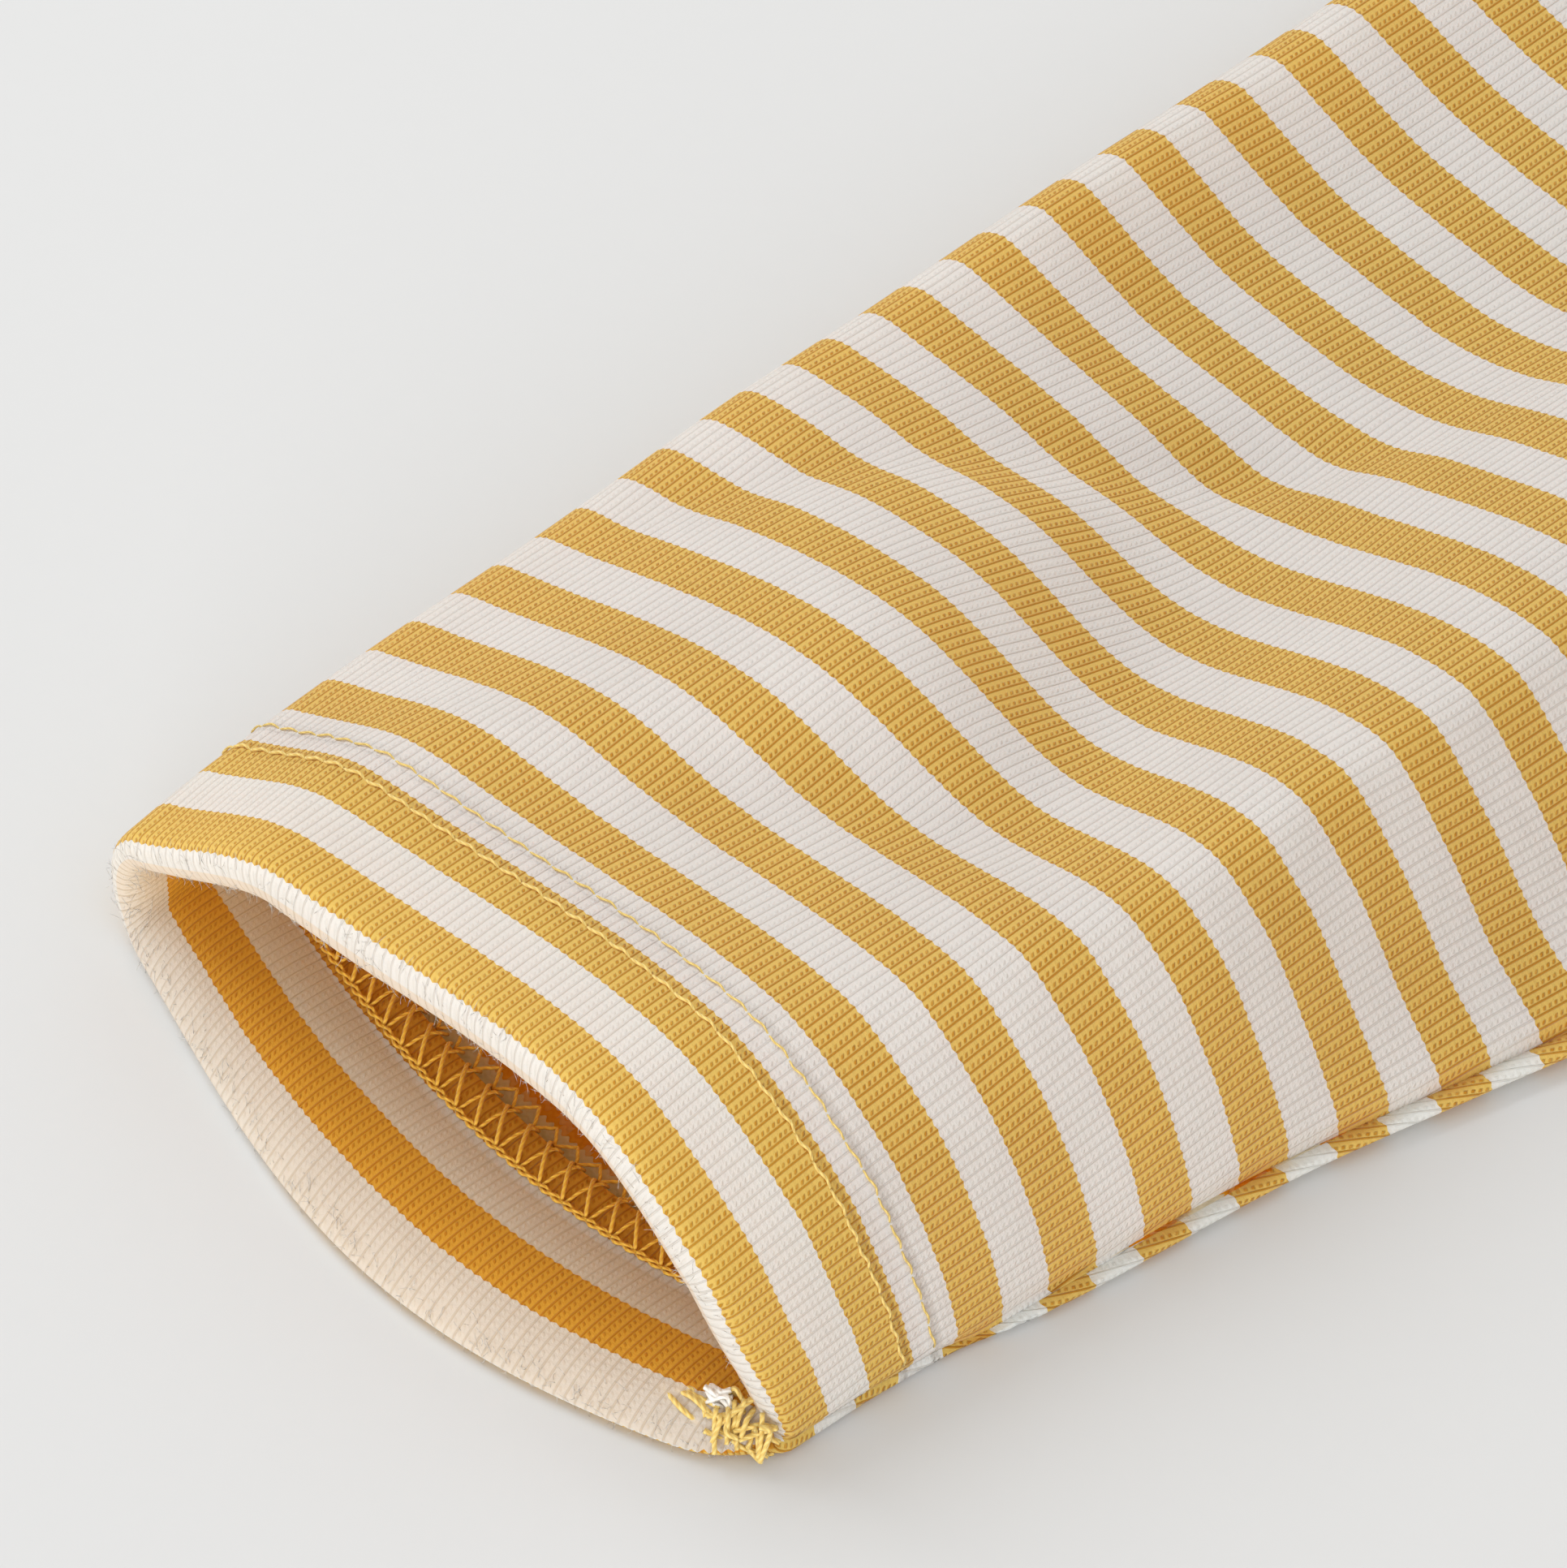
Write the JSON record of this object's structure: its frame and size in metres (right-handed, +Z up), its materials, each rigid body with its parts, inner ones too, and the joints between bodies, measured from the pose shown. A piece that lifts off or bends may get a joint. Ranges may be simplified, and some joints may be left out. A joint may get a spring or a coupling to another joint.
{
  "type": "baby trousers",
  "caption": "Pull-on baby trousers in striped cotton jersey, laid flat with open leg hems and an elasticated waistband.",
  "frame": {"origin": "on the surface the garment lies on, under the middle of its outline", "axes": "+Z up off the back of the garment towards its front, +Y from the hems to the waist, +X towards the wearer's left leg"},
  "size_m": [0.2346, 0.4488, 0.0245],
  "materials": {
    "striped_jersey": "matt single jersey knit, even stripes of mustard yellow and off-white across the leg",
    "band_jersey": "the same striped jersey, doubled over an elastic and gathered",
    "sewing_thread": "fine matt polyester thread, pale yellow"
  },
  "bodies": {
    "root": {"right_leg": "striped_jersey", "left_leg": "striped_jersey", "waistband": "band_jersey"}
  },
  "joints": []
}
